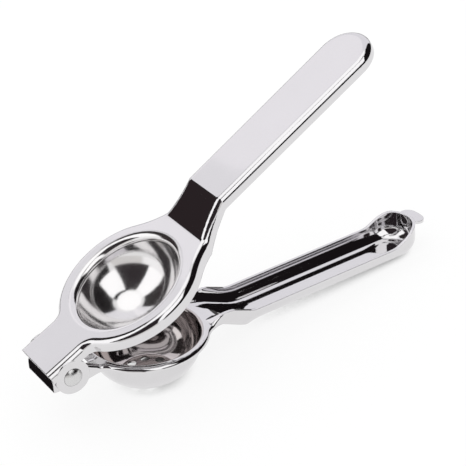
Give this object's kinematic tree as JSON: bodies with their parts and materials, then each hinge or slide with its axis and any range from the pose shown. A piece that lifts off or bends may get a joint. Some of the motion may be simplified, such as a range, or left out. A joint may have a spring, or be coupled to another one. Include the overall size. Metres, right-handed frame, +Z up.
{
  "type": "citrus press juicer",
  "caption": "Hand citrus press: two hinged steel levers with long handles, a round pressing cup above and a drilled strainer bowl below.",
  "frame": {"origin": "on the table, under the middle of the whole press as it stands open", "axes": "+Z up, +X from the hinge towards the handles' tips, +Y to the far side along the hinge axis"},
  "size_m": [0.219, 0.073, 0.1247],
  "materials": {
    "lever_steel": "mirror-polished stainless steel sheet, lightly rubbed by use",
    "cup_steel": "mirror-polished stainless steel, spun and drawn",
    "rivet_steel": "turned stainless steel, the heads softly polished",
    "bush_steel": "plain turned stainless steel"
  },
  "bodies": {
    "lower": {"lower_lever": "lever_steel", "lower_bowl": "cup_steel", "hinge_rivet": "rivet_steel", "hinge_bush": "bush_steel", "washer_near": "bush_steel", "washer_far": "bush_steel"},
    "upper": {"upper_lever": "lever_steel", "upper_cup": "cup_steel"}
  },
  "joints": [
    {"name": "lever_hinge", "type": "hinge", "parent": "lower", "child": "upper", "pos_m": [-0.09839, 0, 0.03018], "axis": [0, -1, 0], "range_deg": [-27, 28]}
  ]
}
